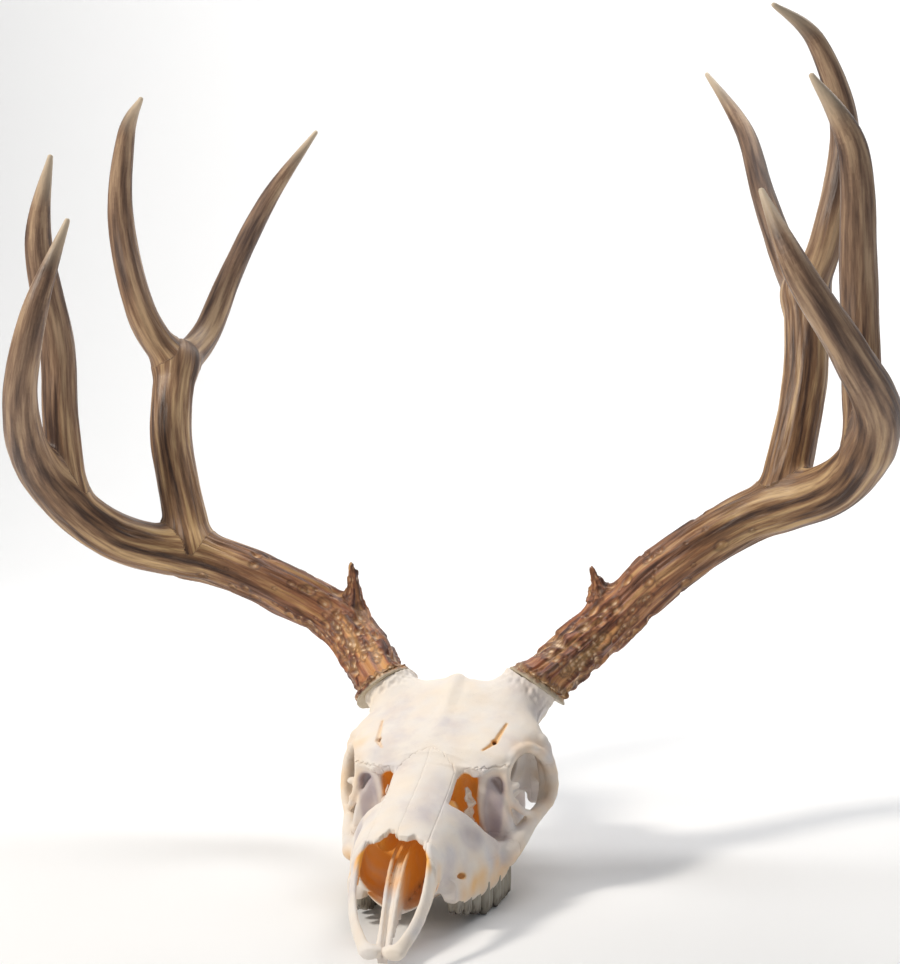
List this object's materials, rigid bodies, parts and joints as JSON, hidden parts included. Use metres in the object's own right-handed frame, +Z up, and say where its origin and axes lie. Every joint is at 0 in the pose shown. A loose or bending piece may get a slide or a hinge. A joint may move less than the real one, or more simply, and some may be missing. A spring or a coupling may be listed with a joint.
{
  "type": "mule deer skull with antlers",
  "caption": "Bleached skull of a mule deer buck without its lower jaw, carrying both branched antlers, resting on its cheek teeth and skull base.",
  "frame": {"origin": "middle of the footprint of the whole head, on the plane that the cheek teeth stand on", "axes": "+X towards the animal's left, nose towards -Y, +Z up"},
  "size_m": [0.6036, 0.4928, 0.5692],
  "materials": {
    "bone": "bleached, dry and matt, cream with cool grey shadows",
    "antler_root": "rough reddish brown with pale pearls",
    "antler_beam": "ridged brown, slightly waxy",
    "antler_tine": "smooth taupe brown polished to ivory at the tips"
  },
  "bodies": {
    "root": {"braincase": "bone", "frontal": "bone", "occipital": "bone", "sphenoid": "bone", "left_nasal": "bone", "left_lacrimal": "bone", "left_zygomatic": "bone", "left_maxilla": "bone", "left_premaxilla": "bone", "right_nasal": "bone", "right_lacrimal": "bone", "right_zygomatic": "bone", "right_maxilla": "bone", "right_premaxilla": "bone", "left_beam_root": "antler_root", "left_brow_tine": "antler_root", "left_beam_middle": "antler_beam", "left_rear_stem": "antler_beam", "left_beam_tip": "antler_tine", "left_front_tine": "antler_tine", "left_rear_outer_tine": "antler_tine", "left_rear_inner_tine": "antler_tine", "right_beam_root": "antler_root", "right_brow_tine": "antler_root", "right_beam_middle": "antler_beam", "right_rear_stem": "antler_beam", "right_beam_tip": "antler_tine", "right_front_tine": "antler_tine", "right_rear_outer_tine": "antler_tine", "right_rear_inner_tine": "antler_tine"}
  },
  "joints": []
}
